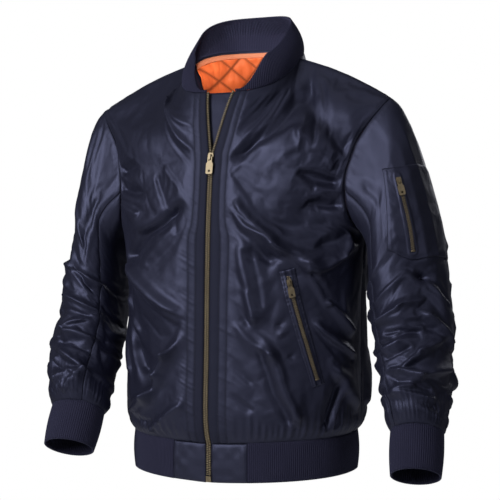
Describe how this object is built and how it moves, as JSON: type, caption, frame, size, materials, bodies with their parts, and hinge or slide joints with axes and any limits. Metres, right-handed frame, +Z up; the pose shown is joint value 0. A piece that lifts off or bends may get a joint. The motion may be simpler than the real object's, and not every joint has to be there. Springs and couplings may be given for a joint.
{
  "type": "bomber jacket",
  "caption": "Bomber jacket in satin, held open in its worn shape, with rib-knit collar, cuffs and hem, a closed front zip, and zip pockets on the left front and left sleeve.",
  "frame": {"origin": "middle of the neck hole at the height of the side neck points, where the shoulders carry the jacket", "axes": "+Z up, the front faces -Y, the wearer's left side is +X"},
  "size_m": [0.6875, 0.3236, 0.7287],
  "materials": {
    "satin": "dark navy satin with a soft sheen",
    "rib_knit": "dark navy rib knit, matt",
    "zip_tape": "dark navy woven tape, matt",
    "quilted_lining": "bright orange, quilted in diamonds",
    "binding": "pale orange woven strip",
    "brass": "aged brass, satin"
  },
  "bodies": {
    "jacket": {"front_left": "satin", "front_right": "satin", "back": "satin", "hem_tab_left": "satin", "hem_tab_right": "satin", "sleeve_left_top": "satin", "sleeve_left_under": "satin", "sleeve_right_top": "satin", "sleeve_right_under": "satin", "wind_flap": "satin", "pocket_left_welt": "satin", "sleeve_pocket_patch": "satin", "collar": "rib_knit", "hem_rib": "rib_knit", "cuff_left": "rib_knit", "cuff_right": "rib_knit", "zip_tape_left": "zip_tape", "zip_tape_right": "zip_tape", "lining_back": "quilted_lining", "neck_binding": "binding", "zip_chain_left": "brass", "zip_chain_right": "brass", "zip_slider": "brass", "zip_box": "brass", "pocket_left_chain": "brass", "pocket_left_slider": "brass", "sleeve_pocket_chain": "brass", "sleeve_pocket_slider": "brass"},
    "front_pull": {"zip_pull": "brass"},
    "pocket_pull": {"pocket_left_pull": "brass"},
    "sleeve_pull": {"sleeve_pocket_pull": "brass"}
  },
  "joints": [
    {"name": "front_pull_turn", "type": "hinge", "parent": "jacket", "child": "front_pull", "pos_m": [0.00016, -0.1196, -0.15708], "axis": [-0.9999, 0.0015, 0.012], "range_deg": [0, 140]},
    {"name": "pocket_pull_turn", "type": "hinge", "parent": "jacket", "child": "pocket_pull", "pos_m": [0.12874, -0.11305, -0.34484], "axis": [-0.9034, -0.3696, -0.2175], "range_deg": [0, 140]},
    {"name": "sleeve_pull_turn", "type": "hinge", "parent": "jacket", "child": "sleeve_pull", "pos_m": [0.28216, -0.06675, -0.19452], "axis": [-0.8602, -0.4621, -0.2158], "range_deg": [0, 140]}
  ]
}
